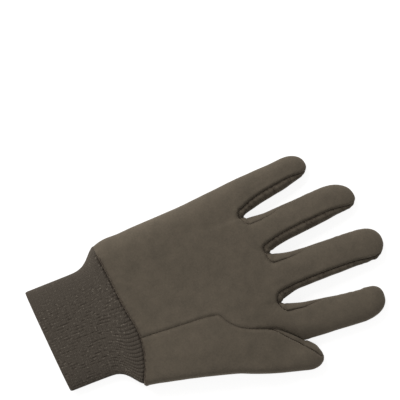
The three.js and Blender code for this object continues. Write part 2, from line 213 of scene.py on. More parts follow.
# Share of that at places along the finger, on its inner and outer side, and on the thumb
INNER_WRAP = ((0, 1), (0.1, 1), (0.2, 0.85), (0.32, 0.4), (0.4, 0.25), (0.9, 0.25), (1, 0.2))
OUTER_WRAP = (
    (0, 0.7), (0.15, 0.95), (0.5, 1), (0.7, 0.85), (0.82, 0.55), (0.92, 0.22), (0.96, 0.1),
    (1, 0.08),
)
THUMB_WRAP = ((0, 0.66), (0.45, 1), (0.8, 0.8), (1, 0.5))

# Rows past its root over which a finger's inner wrap narrows to nothing
INNER_WRAP_ENDS = (34, 46)
# Rows past its root over which the seam on a finger's inner side fades
INNER_SEAM_ENDS = (12, 34)
# Rows before its tip over which a finger's outer wrap narrows to nothing
OUTER_WRAP_ENDS = (9, 2)
# Where the thumb's own seam leaves the palm seam, over how much it does, and where it has reached
# its full distance from it, as shares of the way from the wrist to the crotch
THUMB_SEAM_START = 0.82
THUMB_SEAM_TAPER = 0.035
THUMB_SEAM_FULL = 0.93

# Rounded end of the gap between two fingers
WEB_RADIUS = 1.5
# Where the cloth beside a crotch, and along the outer folds, runs out to the finger's own edge: the
# distances from its root between which it does
WEB_FLARE = (-4, 17)
FOLD_FLARE = (-6, 26)
# How deep the thumb's seam over the palm is drawn in, as a share of the fingers' seams
PALM_SEAM_SHARE = 0.5
# The same for the seam on each finger's inner side
INNER_SEAM_SHARE = {"ring": 0.5, "middle": 0.75, "index": 1.0}
# How much sooner the palm rolls down along a gap's direction than across it
WEB_ROLL = 1.6

# Distances from the little finger's edge between which the wrist seam comes into view
HEM_SHOWS = (4.5, 10)

# Soft dents and swellings of the palm side: place, half-lengths along and across, turn, height
DENTS = (
    ((67, 122), (15, 7), -8, -2.6),
    ((2, 60), (34, 22), 8, -1.6),
    ((-30, 88), (16, 26), 15, 0.9),
    ((6, 97), (9, 34), -4, 0.7),
    ((-36, 38), (30, 12), -6, 0.8),
    ((44, 48), (30, 13), -14, 1.2),
    ((30, 64), (6, 11), 30, -0.9),
    ((56, 84), (20, 8), -38, 0.8),
    ((8, 22), (6, 22), 3, -0.7),
    ((-20, 16), (5, 16), -12, 0.5),
)
# Lumps that worn cloth keeps all over, then the gathers beside the seams, at the wrist and in the
# knit: each with the size of a lump, its height and the seed of its noise
CLOTH_LUMPS = ((26, 0.35, 1), (9, 0.16, 2))
SEAM_GATHERS = ((2.6, 1, 3), (5.5, 0.6, 4))
WRIST_GATHERS = ((2.4, 1, 5), (6.5, 0.5, 6))
KNIT_LUMPS = ((22, 0.35, 8),)
# The same for painted shade over the wrapped edges and in teeth at the hem, with heights of shade
PAINTED_WRAP_SHADE = ((1.3, 1.1, 11),)
HEM_TEETH = ((1.4, 0.6, 13),)
KNIT_TEETH = ((1.6, 2.8, 14),)
# The same for the knit that is pulled open beside the seam, and for the patches that are worn open
OPEN_TONGUES = ((3.5, 0.45, 12),)
WORN_PATCHES = ((1.8, 1, 9),)
# Widths of the line of painted shade in a seam and in the wrist seam
SEAM_LINE_WIDTH = 0.75
HEM_LINE_WIDTH = 1.4
# Widths of what runs along a seam: the groove, the roll of cloth beside it, and the gathers, which
# lie flatter next to the stitches. The roll's height, and how far from the seam it stands.
GROOVE_WIDTH = 1.25
ROLL_WIDTH = 1.7
ROLL_HEIGHT = 0.30
ROLL_PLACE = 2.6
GATHER_WIDTH = 4.6
STITCHED_WIDTH = 0.9
# The same at the wrist seam
HEM_ROLL_WIDTH = 1.6
HEM_ROLL_HEIGHT = 0.5
HEM_ROLL_PLACE = 1.9
HEM_GROOVE_WIDTH = 0.9
HEM_GROOVE_DEPTH = 0.9
HEM_GATHER_WIDTH = 6.0
# Farthest place at which a seam is looked for
SEAM_REACH = 30
# How far the edges of two pieces of cloth are drawn back from the seam between them, each
SEAM_GAP = 0.03
# Lowest place of the outer surface over the floor
CLEARANCE = 0.02
# Width of the fine columns at a finger's edges on the back
BACK_EDGE_WIDTH = 2.4
# Widest that an edge of a finger's columns may be, as a share of the finger's width
EDGE_LIMIT = 0.42
# Share of the way up the palm from which its columns gather towards the fingers', and from which
# it takes on the fingers' thickness and the crease beside the thumb
COLUMNS_GATHER = 0.86
ROOT_BEGINS = 0.7
# How much closer together eased shares lie at both ends: 0 is evenly spaced and 1 a cosine
EASING = 0.55
# How columns lie closer towards an edge, and rows towards a crotch and towards a tip: 1 is evenly
EDGE_POWER = 1.5
WEB_POWER = 1.12
TIP_POWER = 1.35
# Share of a strip over which its palm columns lie closer towards an outer fold, and how much
CROWDED_SHARE = 0.4
CROWDING = 0.75
# Share of a finger from which its tip leans
TIP_LEANS = 0.72
# Where the palm turns into a finger its heights are averaged over a short reach, and that fades
# out over a longer one
ROOT_BLUR = 2.6
ROOT_SPAN = 11.0
# How far past its root a finger's rows lie closer together
WEB_LENGTH = 5.0
# How far down the finger the rounding of its tip reaches in height, in half-widths, and the same
# for the thumb, as a share of its way past the crotch
TIP_DOME = 1.12
THUMB_DOME = 0.75
# Length of the palm from the wrist seam to the crotches, for how far below a gap it is felt
PALM_LENGTH = 112
# How square the fingers' cross-sections and tips are: 2 is an ellipse
ROUNDNESS = 2.3


def linear(hex_colour):
    """sRGB hex value to the linear colour that shaders read."""
    parts = [int(hex_colour[i:i + 2], 16) / 255 for i in (1, 3, 5)]
    return [c / 12.92 if c <= 0.04045 else ((c + 0.055) / 1.055) ** 2.4 for c in parts]


def size_property(name, description, default, least, most):
    """A size that a user may change, in millimetres."""
    return FloatProperty(name=name, description=description, default=default * MM, min=least * MM,
                         max=most * MM, unit="LENGTH", subtype="DISTANCE")


def colour_property(name, description, hex_colour):
    """A colour that a user may change."""
    return FloatVectorProperty(name=name, description=description, default=linear(hex_colour),
                               size=3, min=0, max=1, subtype="COLOR")


class GloveSizes(PropertyGroup):
    cloth_wall: size_property("Cloth", "Thickness of the brushed jersey", 1.3, 0.5, 3)
    knit_wall: size_property("Knit", "Thickness of the rib knit", 1.8, 0.8, 3)
    rib_pitch: size_property("Rib pitch", "Distance between two ribs of the knit wrist", 2.0, 1, 6)
    rib_depth: size_property("Rib depth", "Height of a rib over the valley beside it", 0.55, 0, 1.5)
    seam_depth: size_property("Seam depth", "How far the cloth turns in at a seam", 1.2, 0, 2)
    pucker: size_property("Pucker", "Height of the gathers beside a seam", 0.9, 0, 2)


class GloveColours(PropertyGroup):
    cloth: colour_property("Cloth", "Dark side of the brushed nap", "#423c33")
    nap: colour_property("Nap", "Light side of the brushed nap", "#524a3f")
    knit: colour_property("Knit", "Crown of a knit rib", "#3f3932")
    loop: colour_property("Knit loop", "Loops that catch the light", "#686157")
    # The valley colour is painted shade: in the knit's valleys and pits, and where it goes under
    # the hem
    valley: colour_property("Knit valley", "Valley between two ribs", "#231c16")
    # The seam colour is painted shade: along the cloth's seams, over its wrapped edges and at the
    # wrist seam
    seam: colour_property("Seam", "Crushed nap and thread in a seam", "#251d16")


def table(rows, column=1):
    """The first column and another one of a table, as arrays."""
    data = np.array(rows, float)
    return data[:, 0], data[:, column]


def smooth(rows, at, column=1):
    """A smooth curve through a table's rows, read at one or many places."""
    xs, ys = table(rows, column)
    slopes = np.gradient(ys, xs)
    at = np.clip(np.asarray(at, float), xs[0], xs[-1])
    k = np.clip(np.searchsorted(xs, at, side="right") - 1, 0, len(xs) - 2)
    span = xs[k + 1] - xs[k]
    f = (at - xs[k]) / span
    a, b = 2 * f**3 - 3 * f**2 + 1, f**3 - 2 * f**2 + f
    c, d = 3 * f**2 - 2 * f**3, f**3 - f**2
    return a * ys[k] + b * span * slopes[k] + c * ys[k + 1] + d * span * slopes[k + 1]


def step(low, high, value):
    """0 below low, 1 above high, smooth between."""
    f = np.clip((np.asarray(value, float) - low) / (high - low), 0, 1)
    return f * f * (3 - 2 * f)


def blend(a, b, f):
    """a where f is 0, b where it is 1, and what lies between them between."""
    return a + (b - a) * f


def bell(distance, width):
    """1 at no distance, falling softly to nothing at about two widths."""
    return np.exp(-((distance / width) ** 2))


def unit(vectors):
    """Vectors of length 1 in the same directions."""
    return vectors / np.maximum(np.linalg.norm(vectors, axis=1, keepdims=True), 1e-12)


def rounding(distance, reach, power=2.2):
    """Height of a rounded edge, from 0 at the edge to 1 at reach and beyond."""
    f = np.clip(distance / reach, 0, 1)
    return (1 - (1 - f) ** power) ** (1 / power)


def wrist_seam_y(x):
    """Level of the wrist seam at a place across the wrist."""
    return SEAM_RISE * smooth(WRIST_SEAM, (x - WRIST_LEFT) / (WRIST_RIGHT - WRIST_LEFT))


def eased(count):
    """Shares from 0 to 1 that lie closer together at both ends."""
    f = np.linspace(0, 1, count + 1)
    return blend(f, (1 - np.cos(math.pi * f)) / 2, EASING)


def seam_line(start_x, end, way):
    """A straight seam from the wrist to a crotch."""
    start = np.array([start_x, wrist_seam_y(start_x)])
    return start + way[:, None] * (np.array(end) - start)


def points_of(rows, way, column=1):
    """Points of a smooth line whose x and y are two columns of a table."""
    return np.stack([smooth(rows, way, column), smooth(rows, way, column + 1)], 1)


def table_line(rows, way):
    """A line given by a table of share, x and y. Its start is laid on the wrist seam."""
    line = points_of(rows, way)
    lift = wrist_seam_y(line[0, 0]) - line[0, 1]
    line[:, 1] += lift * (1 - way) ** 6
    return line


def palm_lines(side, way):
    """The six lines that bound the five strips between the wrist and the crotches."""
    wrist_x = PALM_WRIST_X if side == "top" else BACK_WRIST_X
    lines = [table_line(LITTLE_EDGE, way)]
    lines += [seam_line(wrist_x[i + 1], CROTCHES[i], way) for i in range(3)]
    lines.append(table_line(THUMB_SEAM if side == "top" else BACK_THUMB_SEAM, way))
    lines.append(table_line(THUMB_EDGE, way))
    return lines


def spread(edge_columns, middle_columns, left, right, width):
    """Places of a finger's columns: a fine group over each edge, as wide as given, even between."""
    fine = (np.arange(edge_columns + 1) / edge_columns) ** EDGE_POWER
    left_part = (left / width)[:, None] * fine
    right_part = 1 - ((right / width)[:, None] * fine)[:, ::-1]
    middle = eased(middle_columns)[1:-1]
    middle_part = left_part[:, -1:] + (right_part[:, :1] - left_part[:, -1:]) * middle
    return np.concatenate([left_part, middle_part, right_part], 1)


def crowded(share):
    """Shares of a width, closer together near 0, where the cloth turns round the hand's edge."""
    edge = np.clip(1 - share / CROWDED_SHARE, 0, 1)
    return share * (1 - CROWDING * edge**2)


def top_columns(strip, width, climb, share, flare):
    """Places of a strip's columns over the palm side, row by row, as shares of the strip's width.

    climb runs from 0 at the wrist, where columns are even, to 1 at the finger's root. share runs on
    along the finger. flare is how far each edge stands out from the finger at its root.
    """
    left = np.full(len(width), float(WRAPS[strip][0]))
    right = np.full(len(width), float(WRAPS[strip][1]))
    gather = step(COLUMNS_GATHER, 1, climb)
    if strip in ("ring", "middle", "index"):
        left *= smooth(INNER_WRAP, share)
    if strip in ("little", "ring", "middle"):
        right *= smooth(OUTER_WRAP, share)
    if strip == "thumb":
        left *= smooth(THUMB_WRAP, share)
        left = blend(0.5, left, step(THUMB_SEAM_START, THUMB_SEAM_FULL, climb))
        gather = step(THUMB_SEAM_START - 0.25, THUMB_SEAM_START - 0.03, climb)
    left = np.minimum(left + flare[0], EDGE_LIMIT * width)
    right = np.minimum(right + flare[1], EDGE_LIMIT * width)
    finger = spread(WRAP_COLUMNS, FRONT_COLUMNS, left, right, width)
    palm = np.tile(np.linspace(0, 1, TOP_COLUMNS + 1), (len(width), 1))
    if strip == "little":
        palm = crowded(palm)
    if strip == "thumb":
        palm = 1 - crowded(1 - palm)
    return blend(palm, finger, gather[:, None])


def bottom_columns(width, climb, flare):
    """Places of a strip's columns over the back."""
    left, right = (np.minimum(BACK_EDGE_WIDTH + f, EDGE_LIMIT * width) for f in flare)
    middle = BOTTOM_COLUMNS - 2 * BACK_EDGE_COLUMNS
    finger = spread(BACK_EDGE_COLUMNS, middle, left, right, width)
    palm = np.tile(eased(BOTTOM_COLUMNS), (len(width), 1))
    return blend(palm, finger, step(COLUMNS_GATHER, 1, climb)[:, None])


def web_factors(i, u):
    """How far the points beside a strip's two crotches are drawn towards them.

    It turns the square path of rows and columns round each crotch to a ring.
    """
    below = (np.arange(PALM_STEPS, -1, -1) / WEB_ROWS)[:, None]
    factors = []
    for crotch, across in ((i - 1, u / u[:, WRAP_COLUMNS, None]),
                           (i, (1 - u) / (1 - u[:, TOP_COLUMNS - WRAP_COLUMNS, None]))):
        square = np.maximum(across, below)
        squeeze = square / np.maximum(np.hypot(across, below), 1e-6)
        near = 1 - step(1.2, 2.6, square)
        factors.append(blend(1, squeeze, near) if 0 <= crotch < THUMB - 1 else np.ones_like(u))
    return factors


def ease_root(z, plan, root):
    """Smooths the heights along each column where the palm turns into a finger."""
    for column in range(z.shape[1]):
        steps = np.linalg.norm(np.diff(plan[:, column], axis=0), axis=1)
        along = np.concatenate([[0], np.cumsum(steps)])
        apart = along[:, None] - along[None, :]
        weight = bell(apart, math.sqrt(2) * ROOT_BLUR) * (np.gradient(along) + 1e-9)
        eased_z = weight @ z[:, column] / weight.sum(1)
        z[:, column] = blend(z[:, column], eased_z, bell(along - along[root], ROOT_SPAN))
    return z


def finger_way(length, steps):
    """Shares of a finger's length at its rows, closer together at the root and at the tip."""
    web_rows = steps // 6
    web = WEB_LENGTH / length
    rest = np.linspace(0, 1, steps - web_rows + 1)[1:]
    near = web * np.linspace(0, 1, web_rows + 1) ** WEB_POWER
    return np.concatenate([near, web + (1 - web) * (1 - (1 - rest) ** TIP_POWER)])


def finger_edges(name, left_crotch, right_crotch):
    """Both edges of a finger from its root to its tip, and for each row its share of the way,
    thickness, height in the tip's dome, and how far each edge stands out.
    """
    digit = DIGITS[name]
    way = finger_way(digit["length"], FINGER_STEPS[name])
    root = np.array(digit["root"], float)
    along = np.array([digit["lean"], digit["length"]], float)
    along /= np.linalg.norm(along)
    across = np.array([along[1], -along[0]])
    edges = []
    shares = []
    flares = []
    for side, crotch in ((-1, left_crotch), (1, right_crotch)):
        start = (np.array(crotch) - root) @ along / digit["length"]
        share = blend(start, 1, way)
        half = digit["width"] * smooth(FINGER_HALF_WIDTH, share)
        half = half * blend(1, digit["taper"], np.clip(share, 0, 1))
        reach = digit["tip_reach"][0 if side < 0 else 1]
        tip = rounding((1 - share) * digit["length"], reach * half, ROUNDNESS)
        lean = digit["skew"] * step(TIP_LEANS, 1, share)
        out = side * half * tip + lean
        wanted = (np.array(crotch) - root) @ across
        past = (share - start) * digit["length"]
        fold = (name == "little" and side < 0) or (name == "index" and side > 0)
        stands_out = side * (wanted - out[0])
        round_end = 0 if fold else np.clip(stands_out, 0, WEB_RADIUS)
        flare = (stands_out - round_end) * (1 - step(*(FOLD_FLARE if fold else WEB_FLARE), past))
        flare = side * (flare + round_end * (1 - rounding(past, WEB_RADIUS, 2)))
        out = out + flare
        flares.append(np.maximum(side * flare, 0))
        edges.append(root + share[:, None] * digit["length"] * along + out[:, None] * across)
        shares.append(share)
    share = (shares[0] + shares[1]) / 2
    half = digit["width"] * digit["taper"] / 2
    dome = rounding((1 - share) * digit["length"], TIP_DOME * half, ROUNDNESS)
    thick = digit["thick"] * smooth(FINGER_THICKNESS, share)
    return edges[0], edges[1], share, thick, dome, flares


def thumb_edges():
    """The same for the thumb's tip past its crotch."""
    way = 1 - (1 - np.linspace(0, 1, FINGER_STEPS["thumb"] + 1)) ** EDGE_POWER
    inner, outer = (points_of(THUMB_TIP, way, k) for k in (1, 3))
    thick = blend(*THUMB_THICKNESS, way)
    return inner, outer, way, thick, rounding(1 - way, THUMB_DOME), (0 * way, 0 * way)


def palm_swell(top, i, way, u, width, factors):
    """Height of the palm's surface over its edge, 0 at an outer edge or a crotch and 1 inside."""
    half = width / 2
    above = (1 - way)[:, None] * PALM_LENGTH * WEB_ROLL
    near_root = step(0.8, 1, way)[:, None]
    swell = np.ones_like(u)
    for share, factor, fold in ((u, factors[0], i == 0), (1 - u, factors[1], i == THUMB)):
        from_side = share * width
        if fold:
            side = blend(rounding(from_side, EDGE_ROUNDING[STRIPS[i]]),
                         rounding(from_side, half, ROUNDNESS), near_root)
        else:
            side = rounding(factor * np.hypot(from_side, above), half, ROUNDNESS)
        swell = swell * side
    if top and i >= THUMB - 1:
        from_crease = (1 - u if i < THUMB else u) * width
        crease = rounding(from_crease, CREASE_ROUNDING[i - THUMB + 1], 2)
        swell = swell * blend(1, crease, step(ROOT_BEGINS, 1, way)[:, None])
    return swell


def strip_grid(side, i, way, lines):
    """Points of one strip, from the wrist to the tip, as an array of rows and columns."""
    name = STRIPS[i]
    top = side == "top"
    if i == THUMB:
        ends = thumb_edges()
    else:
        crotches = (lines[0][-1],) + tuple(np.array(c, float) for c in CROTCHES)
        ends = finger_edges(name, crotches[i], crotches[i + 1])
    tip_left, tip_right, share, tip_thick, dome, flare = ends
    left, right = lines[i], lines[i + 1]
    width = np.linalg.norm(right - left, axis=1)
    at_root = np.zeros(len(way))
    root_flare = [f[0] + at_root for f in flare]
    if top:
        u = top_columns(name, width, way, at_root, root_flare)
    else:
        u = bottom_columns(width, way, root_flare)
    plan = left[:, None, :] + u[..., None] * (right - left)[:, None, :]
    bend = wrist_seam_y(plan[0, :, 0]) - plan[0, :, 1]
    plan[..., 1] += bend[None, :] * ((1 - way) ** 3)[:, None]
    factors = (1, 1)
    if top:
        factors = web_factors(i, u)
        for line, factor in zip((left, right), factors):
            plan = plan + (factor - 1)[..., None] * (plan - line[-1])
    thick = blend(smooth(PALM_THICKNESS, way), tip_thick[0], step(ROOT_BEGINS, 1, way))
    swell = palm_swell(top, i, way, u, width[:, None], factors)

    tip_width = np.maximum(np.linalg.norm(tip_right - tip_left, axis=1), 2)
    past_palm = np.ones(len(share))
    if top:
        tip_u = top_columns(name, tip_width, past_palm, np.clip(share, 0, 1), flare)
    else:
        tip_u = bottom_columns(tip_width, past_palm, flare)
    tip_plan = tip_left[:, None, :] + tip_u[..., None] * (tip_right - tip_left)[:, None, :]
    tip_swell = rounding(np.minimum(tip_u, 1 - tip_u), 0.5, ROUNDNESS) * dome[:, None]
    plan = np.concatenate([plan, tip_plan[1:]])
    swell = np.concatenate([swell, tip_swell[1:]])
    thick = np.concatenate([thick, tip_thick[1:]])[:, None]
    edge = EDGE_SHARE * thick
    if top:
        z = edge + (thick - edge) * swell
    else:
        z = edge * (1 - np.minimum(1, FLATNESS * swell))
    z = ease_root(z, plan, len(way) - 1)
    return np.concatenate([plan, z[..., None]], 2)


class ClothHand:
    """The welded surface of the whole cloth hand, and which piece of cloth each face belongs to."""

    def __init__(self):
        self.way = eased(PALM_STEPS)
        self.grids = {}
        for side in ("top", "bottom"):
            lines = palm_lines(side, self.way)
            for i in range(len(STRIPS)):
                self.grids[side, i] = strip_grid(side, i, self.way, lines)
        self.ids = {}
        self.sums = []
        self.faces = []
        self.tags = []
        self.outer_wrap = []
        self.users = {}
        for i in range(len(STRIPS)):
            self.add_faces("top", i, TOP_COLUMNS)
            self.add_faces("bottom", i, BOTTOM_COLUMNS)
        sums = np.array(self.sums)
        self.points = sums[:, :3] / sums[:, 3:]
        self.faces = np.array(self.faces)

    def place(self, side, i, row, column):
        """The name of a grid point, the same for every grid that meets there."""
        last = TOP_COLUMNS if side == "top" else BOTTOM_COLUMNS
        if row == PALM_STEPS + FINGER_STEPS[STRIPS[i]]:
            return ("tip", i)
        if side == "bottom":
            if column == 0 and (i == 0 or row >= PALM_STEPS):
                side = "top"
            elif column == last and (i == THUMB or row >= PALM_STEPS):
                side, column = "top", TOP_COLUMNS
        if side == "top" and column == TOP_COLUMNS and i < THUMB and row <= PALM_STEPS:
            i, column = i + 1, 0
        elif side == "bottom" and column == last and i < THUMB:
            i, column = i + 1, 0
        return (side, i, row, column)

    def number(self, side, i, row, column):
        """The number of a welded point, whose place is the mean of the grid points there."""
        key = self.place(side, i, row, column)
        point = self.grids[side, i][row, column]
        if key not in self.ids:
            self.ids[key] = len(self.sums)
            self.sums.append([0.0, 0.0, 0.0, 0.0])
        n = self.ids[key]
        self.sums[n] = [a + b for a, b in zip(self.sums[n], (*point, 1))]
        return n

    def tag(self, side, i, row, column):
        """The cloth that a face is cut from. The back cloth wraps over the fingers' edges."""
        name = STRIPS[i]
        if side == "bottom":
            return "back_" + name
        wraps = row >= PALM_STEPS - WEB_ROWS
        on_left = column < WRAP_COLUMNS and i > 0
        on_right = column >= TOP_COLUMNS - WRAP_COLUMNS and i < THUMB - 1
        before_tip = PALM_STEPS + FINGER_STEPS[name] - row
        if i == THUMB:
            share = (self.way[min(row, PALM_STEPS)] - THUMB_SEAM_START) / THUMB_SEAM_TAPER
            wraps = min(share, before_tip / OUTER_WRAP_ENDS[0]) * WRAP_COLUMNS > column
        elif on_left:
            first, last = INNER_WRAP_ENDS
            share = (row - PALM_STEPS - first) / (last - first)
            wraps = wraps and (1 - share) * WRAP_COLUMNS > column
        elif on_right:
            first, last = OUTER_WRAP_ENDS
            share = (before_tip - last) / (first - last)
            wraps = wraps and share * WRAP_COLUMNS > TOP_COLUMNS - 1 - column
        if wraps and (on_left or on_right):
            return "back_" + name
        return "thumb_front" if i == THUMB else "front"

    def add_faces(self, side, i, columns):
        """Adds one strip's faces, each tagged with the cloth that it is cut from."""
        rows = PALM_STEPS + FINGER_STEPS[STRIPS[i]]
        for row in range(rows):
            for column in range(columns):
                corners = [self.number(side, i, row + up, column + on)
                           for up, on in ((0, 0), (0, 1), (1, 1), (1, 0))]
                if side == "bottom":
                    corners.reverse()
                self.faces.append(corners)
                outer = column >= TOP_COLUMNS - WRAP_COLUMNS
                tag = self.tag(side, i, row, column)
                self.outer_wrap.append(side == "top" and outer and tag.startswith("back"))
                self.tags.append(tag)
                for corner in corners:
                    self.users.setdefault(corner, set()).add(tag)

    def wrapped(self):
        """1 at points of back cloth wrapped over a finger's edge on the thumb's side, else 0."""
        wraps = np.zeros(len(self.points))
        wraps[self.faces[np.array(self.outer_wrap)].ravel()] = 1
        return wraps

    def fold_numbers(self):
        """Points of the outer folds, where the cloth turns round to the back without a seam."""
        folds = {self.ids["tip", i] for i in (0, THUMB - 1, THUMB)}
        for key, n in self.ids.items():
            if key[0] == "top":
                _, i, row, column = key
                last = column == TOP_COLUMNS
                little = i == 0 and column == 0
                index = i == THUMB - 1 and last and row > PALM_STEPS
                if little or index or (i == THUMB and last):
                    folds.add(n)
        return folds

    def seam_numbers(self):
        """Points where two pieces of cloth meet, and those of the wrist seam."""
        folds = self.fold_numbers()
        seams = {n for n, tags in self.users.items() if len(tags) > 1 and n not in folds}
        wrist = {n for key, n in self.ids.items() if key[0] != "tip" and key[2] == 0}
        return seams, wrist


def vertex_normals(points, faces):
    """Smooth normals of a mesh of quads."""
    a, b, c, d = (points[faces[:, k]] for k in range(4))
    face_normals = np.cross(c - a, d - b)
    normals = np.zeros_like(points)
    for k in range(4):
        np.add.at(normals, faces[:, k], face_normals)
    return unit(normals)


def sides(faces):
    """The sides of a mesh's faces, each once, and how many faces share it."""
    pairs = np.concatenate([faces[:, [k, (k + 1) % 4]] for k in range(4)])
    pairs = np.sort(pairs[pairs[:, 0] != pairs[:, 1]], 1)
    return np.unique(pairs, axis=0, return_counts=True)


def relax(values, faces, points, rounds, keep, strength=0.5):
    """Averages each point's values with its neighbours', near ones more, except those to keep."""
    edges, _ = sides(faces)
    apart = np.linalg.norm(points[edges[:, 0]] - points[edges[:, 1]], axis=1)
    weight = 1 / np.maximum(apart, 0.05)
    count = np.zeros(len(values))
    for a, b in ((0, 1), (1, 0)):
        np.add.at(count, edges[:, a], weight)
    for _ in range(rounds):
        total = np.zeros_like(values)
        for a, b in ((0, 1), (1, 0)):
            np.add.at(total, edges[:, a], (values[edges[:, b]].T * weight).T)
        moved = blend(values, (total.T / count).T, strength)
        moved[keep] = values[keep]
        values = moved
    return values


def dent_height(points):
    """Sum of the soft dents and swellings at each point, seen from above."""
    total = np.zeros(len(points))
    for place, size, turn, height in DENTS:
        x, y = (points[:, :2] - np.array(place)).T
        cos, sin = math.cos(math.radians(turn)), math.sin(math.radians(turn))
        total += height * bell(y * cos - x * sin, size[0]) * bell(x * cos + y * sin, size[1])
    return total


def noise_at(points, size, seed):
    """Smooth noise between about -1 and 1 with lumps of one size, in millimetres."""
    shift = Vector((seed * 17.3, seed * 7.1, seed * 3.7))
    return np.array([noise.noise(Vector(p) / size + shift) for p in points.tolist()])


def lumps(points, rows):
    """Sum of noises, each given by the size of its lumps, their height and its seed."""
    return sum(height * noise_at(points, size, seed) for size, height, seed in rows)


def nearest(points, targets, reach):
    """For each point the number of the nearest target and its distance, at most reach."""
    tree = kdtree.KDTree(len(targets))
    for n, target in enumerate(targets.tolist()):
        tree.insert(target, n)
    tree.balance()
    found = [tree.find(p) for p in points.tolist()]
    return np.array([f[1] for f in found]), np.minimum([f[2] for f in found], reach)


def inner_seam_fade(hand):
    """1, or less along the fingers' inner edges, where the seam turns under, out of view."""
    fade = np.ones(len(hand.points))
    for key, n in hand.ids.items():
        if key[0] == "top" and 0 < key[1] < THUMB and key[3] < TOP_COLUMNS / 2:
            _, i, row, _ = key
            shown = 1 - step(*INNER_SEAM_ENDS, row - PALM_STEPS)
            fade[n] = INNER_SEAM_SHARE[STRIPS[i]] * shown
    return fade


def seam_shade(hand, at_seam, from_seam, from_wrist, away):
    """Painted shade in the seams and the wrist seam, and on wrapped edges turned from the light."""
    # A line of painted shade in each seam's groove, fainter where the seam fades
    line = 0.8 * away * bell(from_seam, SEAM_LINE_WIDTH)
    # Painted shade in streaks over the wrapped edges on the thumb's side, which face away from the
    # light
    gathers = 0.5 + lumps(at_seam, PAINTED_WRAP_SHADE)
    pulled = hand.wrapped() * (0.02 + 0.5 * gathers) * step(0.3, 1.2, from_seam)
    # A line of painted shade along the wrist seam, in teeth, clear of the fold on the little
    # finger's side
    teeth = 0.95 + lumps(hand.points, HEM_TEETH)
    from_left = hand.points[:, 0] - WRIST_LEFT
    hem = teeth * bell(from_wrist, HEM_LINE_WIDTH) * step(*HEM_SHOWS, from_left)
    return np.clip(np.maximum(np.maximum(line, pulled), hem), 0, 1)


def shape_cloth(hand, sizes):
    """The cloth's soft shape: dents, the turned-in seams and the gathers beside them."""
    points = hand.points
    faces = hand.faces
    seams, wrist = hand.seam_numbers()
    points[:, 2] = relax(points[:, 2], faces, points, 6, points[:, 2] <= 0)
    normals = unit(relax(vertex_normals(points, faces), faces, points, 5, []))
    free = step(0.5, 5, points[:, 2])
    points[:, 2] += dent_height(points) * np.clip(normals[:, 2], 0, 1)
    for row in CLOTH_LUMPS:
        points += normals * (lumps(points, [row]) * free)[:, None]

    # Along the seams, less towards the fingertips and on their inner sides
    seam_ids = np.array(sorted(seams))
    near, from_seam = nearest(points, points[seam_ids], SEAM_REACH)
    thumb_seam = {n for key, n in hand.ids.items() if key[:2] == ("top", THUMB) and key[3] == 0}
    strength = np.array([PALM_SEAM_SHARE if n in thumb_seam else 1.0 for n in seam_ids])
    at_seam = points[seam_ids][near]
    tips = np.array([points[n] for key, n in hand.ids.items() if key[0] == "tip"])
    from_tip = np.min(np.linalg.norm(points[:, None, :] - tips[None], axis=2), axis=1)
    away = step(1, 12, from_tip) * inner_seam_fade(hand) * strength[near]
    groove = -sizes.seam_depth / MM * away * bell(from_seam, GROOVE_WIDTH)
    roll = ROLL_HEIGHT * away * bell(from_seam - ROLL_PLACE, ROLL_WIDTH)
    pucker = sizes.pucker / MM * away * blend(0.5, 1, hand.wrapped())
    beside = bell(from_seam, GATHER_WIDTH) * (1 - 0.75 * bell(from_seam, STITCHED_WIDTH))
    moved = groove + roll * step(1, 4, points[:, 2])
    points += normals * (moved + pucker * lumps(at_seam, SEAM_GATHERS) * beside)[:, None]

    # Along the wrist, least at the fold on the little finger's side
    wrist_ids = np.array(sorted(wrist))
    near, from_wrist = nearest(points, points[wrist_ids], SEAM_REACH)
    roll = HEM_ROLL_HEIGHT * bell(from_wrist - HEM_ROLL_PLACE, HEM_ROLL_WIDTH)
    hem = roll - HEM_GROOVE_DEPTH * bell(from_wrist, HEM_GROOVE_WIDTH)
    hem = hem * blend(0.15, 1, step(WRIST_LEFT - 1, WRIST_LEFT + 9, points[:, 0]))
    gathers = lumps(points[wrist_ids][near], WRIST_GATHERS) * bell(from_wrist, HEM_GATHER_WIDTH)
    points += normals * (hem + 0.9 * pucker * gathers)[:, None]
    points[:, 2] = np.maximum(points[:, 2], CLEARANCE)
    # The painted shade, for the cloth's material to read
    hand.shade = seam_shade(hand, at_seam, from_seam, from_wrist, away)


def to_place(points):
    """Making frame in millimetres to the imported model's frame in metres."""
    origin = np.array([cad_low[0] + LITTLE_SIDE * MM, cad_low[1] + BELOW_SEAM * MM, cad_low[2]])
    return points * MM + origin


def new_piece(name, points, faces, node, material):
    """A mesh object that replaces a node: smooth shaded, riding on the glove."""
    mesh = bpy.data.meshes.new(name)
    corners = [list(dict.fromkeys(face)) for face in faces.tolist()]
    mesh.from_pydata(to_place(points).tolist(), [], corners)
    mesh.validate()
    mesh.materials.append(material)
    mesh.shade_smooth()
    piece = bpy.data.objects.new(name, mesh)
    bpy.context.scene.collection.objects.link(piece)
    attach(piece, "root")
    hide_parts(node)
    return piece


def store(piece, name, values):
    """Keeps one value for each point of a piece, for its material to read."""
    piece.data.attributes.new(name, "FLOAT", "POINT").data.foreach_set("value", values)


def apply_modifier(piece, kind, **settings):
    """Adds one modifier to a piece and applies it."""
    bpy.ops.object.select_all(action="DESELECT")
    bpy.context.view_layer.objects.active = piece
    piece.select_set(True)
    modifier = piece.modifiers.new(kind.title(), kind)
    for key, value in settings.items():
        setattr(modifier, key, value)
    bpy.ops.object.modifier_apply(modifier=modifier.name)
    piece.select_set(False)


def rest_on_floor(piece):
    """Lifts every point that lies under the floor on to it."""
    for vertex in piece.data.vertices:
        vertex.co.z = max(vertex.co.z, cad_low[2])


